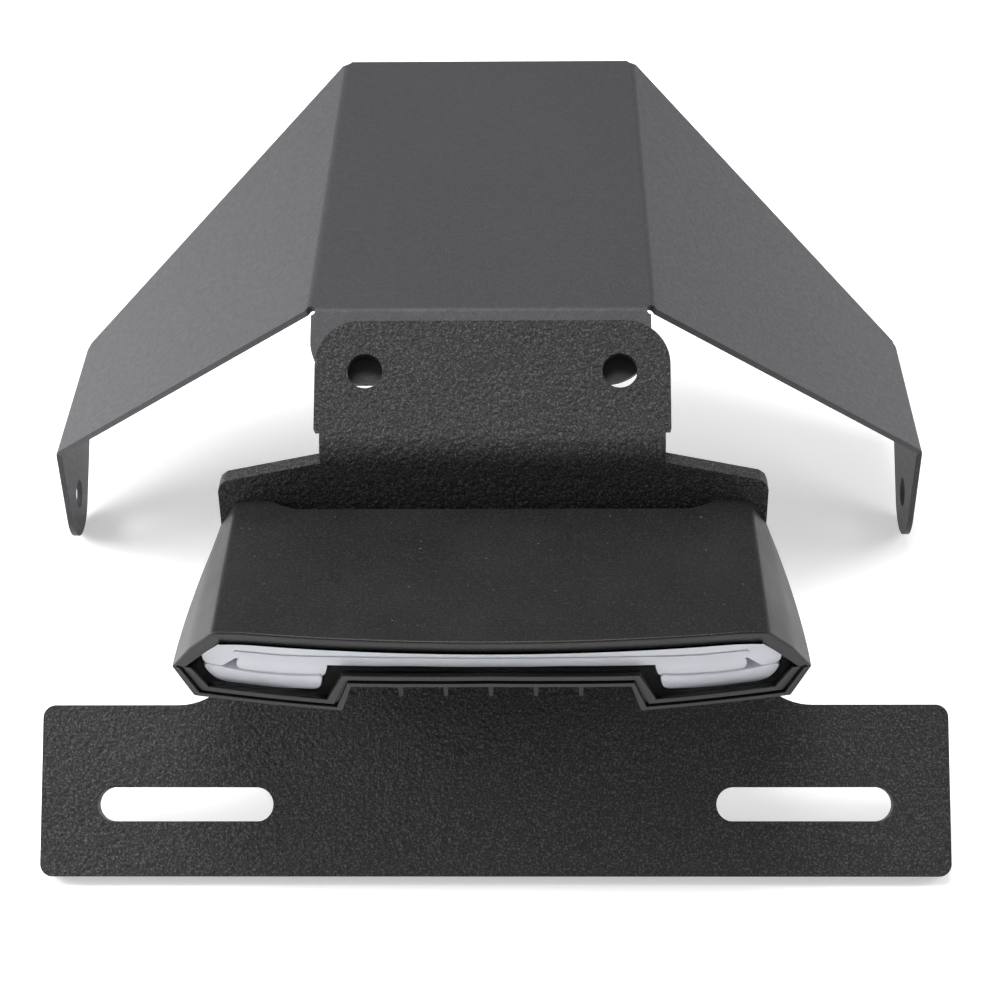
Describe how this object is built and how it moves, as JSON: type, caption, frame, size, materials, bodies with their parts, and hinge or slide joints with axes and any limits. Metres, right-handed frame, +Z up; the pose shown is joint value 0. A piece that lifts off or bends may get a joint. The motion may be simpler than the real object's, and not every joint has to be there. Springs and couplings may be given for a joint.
{
  "type": "tail tidy",
  "caption": "Folded motorbike licence plate bracket with a tail light, and a folded undertail cover standing behind it.",
  "frame": {"origin": "midway between the two bolt holes of the bracket's upper flange, on the flange's front face", "axes": "+X to the right across the plate, seen from the light's front; +Y horizontally from the light towards the motorbike; +Z up, with the pair standing as pictured"},
  "size_m": [0.2312, 0.2176, 0.1111],
  "materials": {
    "cover_coat": "satin",
    "bracket_coat": "matte",
    "black_plastic": "satin",
    "clear_lens": "gloss",
    "milky_guide": "satin",
    "black_gloss": "gloss",
    "circuit_board": "satin",
    "led": "gloss",
    "white_plastic": "satin",
    "steel": "satin",
    "brass": "satin",
    "rubber": "matte"
  },
  "bodies": {
    "root": {"undertail_cover": "cover_coat", "plate_bracket": "bracket_coat", "light_hood": "black_plastic", "light_housing": "black_plastic", "front_lens": "clear_lens", "upper_light_guide": "milky_guide", "left_inner_light_bar": "milky_guide", "right_inner_light_bar": "milky_guide", "left_lower_light_bar": "milky_guide", "right_lower_light_bar": "milky_guide", "reflector_tray": "black_gloss", "led_board": "circuit_board", "board_leds": "led", "lead_socket": "white_plastic", "board_screws": "steel", "licence_lamp_window": "clear_lens", "licence_lamp_board": "circuit_board", "licence_lamp_leds": "led", "threaded_inserts": "brass", "light_bolts": "steel", "light_washers": "steel", "housing_screws": "steel", "cable_grommet": "rubber"}
  },
  "joints": []
}
